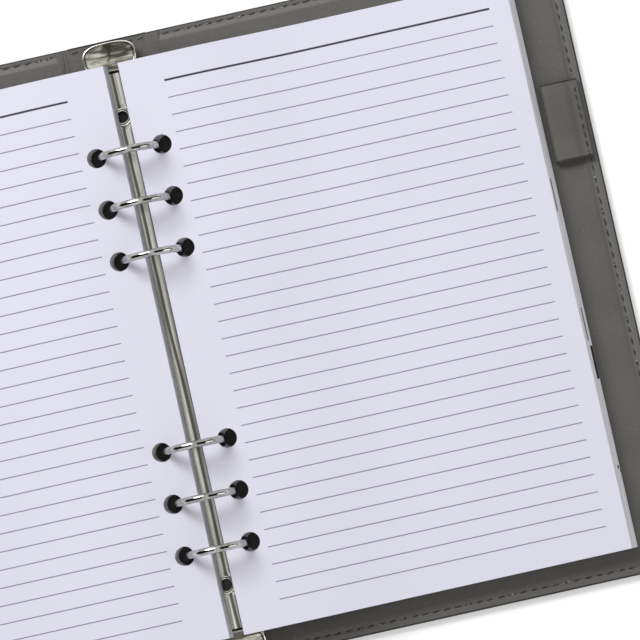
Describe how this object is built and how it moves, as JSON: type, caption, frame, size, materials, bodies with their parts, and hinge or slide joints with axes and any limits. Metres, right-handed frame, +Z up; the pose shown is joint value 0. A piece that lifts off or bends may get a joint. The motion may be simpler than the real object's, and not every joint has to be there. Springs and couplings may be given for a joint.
{
  "type": "ring binder",
  "caption": "Open six-ring loose-leaf binder: soft leatherette covers that fold at the spine, snap rings with thumb levers, punched ruled sheets and a pen loop.",
  "frame": {"origin": "middle of the open binder's outline, on the surface it lies on", "axes": "+X across to the right cover, +Y along the spine to the top edge, +Z up"},
  "size_m": [0.329, 0.23, 0.027],
  "materials": {
    "ring_wire": "bright nickel plated round steel wire",
    "nickel_plate": "bright nickel plated pressed steel",
    "plain_steel": "plain rolled steel",
    "rivet_metal": "nickel plated brass tube",
    "paper": "smooth uncoated ruled paper",
    "board": "grey pressed board",
    "lining": "matte leatherette, fine grain",
    "cover_leather": "matte leatherette, fine grain, stitched edge",
    "loop_leather": "matte leatherette strip, folded and sewn"
  },
  "bodies": {
    "bottom_lever": {"bottom_lever": "nickel_plate"},
    "spine": {"bottom_lever_pin": "plain_steel", "bottom_rivet": "rivet_metal", "ring_channel": "nickel_plate", "rivet_caps": "rivet_metal", "spine_board": "board", "spine_lining": "lining", "spine_skin": "cover_leather", "top_lever_pin": "plain_steel", "top_rivet": "rivet_metal"},
    "left_ring_set": {"left_blade": "plain_steel", "left_half_ring_1": "ring_wire", "left_half_ring_2": "ring_wire", "left_half_ring_3": "ring_wire", "left_half_ring_4": "ring_wire", "left_half_ring_5": "ring_wire", "left_half_ring_6": "ring_wire"},
    "left_cover": {"left_cover_board": "board", "left_cover_lining": "lining", "left_cover_skin": "cover_leather", "left_fold_web": "cover_leather"},
    "left_sheets": {"left_lower_sheets": "paper", "left_upper_sheets": "paper"},
    "right_cover": {"pen_loop": "loop_leather", "right_cover_board": "board", "right_cover_lining": "lining", "right_cover_skin": "cover_leather", "right_fold_web": "cover_leather"},
    "right_ring_set": {"right_blade": "plain_steel", "right_half_ring_1": "ring_wire", "right_half_ring_2": "ring_wire", "right_half_ring_3": "ring_wire", "right_half_ring_4": "ring_wire", "right_half_ring_5": "ring_wire", "right_half_ring_6": "ring_wire"},
    "right_sheets": {"right_lower_sheets": "paper", "right_upper_sheets": "paper"},
    "top_lever": {"top_lever": "nickel_plate"}
  },
  "joints": [
    {"name": "left_cover_fold", "type": "hinge", "parent": "spine", "child": "left_cover", "pos_m": [-0.0162, 0, 0.0016], "axis": [0, 1, 0], "range_deg": [0, 90]},
    {"name": "right_cover_fold", "type": "hinge", "parent": "spine", "child": "right_cover", "pos_m": [0.0162, 0, 0.0016], "axis": [0, -1, 0], "range_deg": [0, 90]},
    {"name": "left_sheets_turn", "type": "hinge", "parent": "spine", "child": "left_sheets", "pos_m": [0, 0, 0.0155], "axis": [0, 1, 0], "range_deg": [0, 90]},
    {"name": "right_sheets_turn", "type": "hinge", "parent": "spine", "child": "right_sheets", "pos_m": [0, 0, 0.0155], "axis": [0, -1, 0], "range_deg": [0, 90]},
    {"name": "ring_opening", "type": "hinge", "parent": "spine", "child": "right_ring_set", "pos_m": [0.0063, 0, 0.0052], "axis": [0, 1, 0], "range_deg": [0, 8]},
    {"name": "left_ring_opening", "type": "hinge", "parent": "spine", "child": "left_ring_set", "pos_m": [-0.0063, 0, 0.0052], "axis": [0, -1, 0], "range_deg": [0, 8]},
    {"name": "top_lever_press", "type": "hinge", "parent": "spine", "child": "top_lever", "pos_m": [0, 0.0995, 0.0052], "axis": [-1, 0, 0], "range_deg": [0, 10]},
    {"name": "bottom_lever_press", "type": "hinge", "parent": "spine", "child": "bottom_lever", "pos_m": [0, -0.0995, 0.0052], "axis": [1, 0, 0], "range_deg": [0, 10]}
  ],
  "couplings": [
    {"joint": "left_sheets_turn", "follows": "left_cover_fold", "ratio": 1},
    {"joint": "right_sheets_turn", "follows": "right_cover_fold", "ratio": 1},
    {"joint": "left_ring_opening", "follows": "ring_opening", "ratio": 1},
    {"joint": "top_lever_press", "follows": "ring_opening", "ratio": 1.25},
    {"joint": "bottom_lever_press", "follows": "ring_opening", "ratio": 1.25}
  ]
}
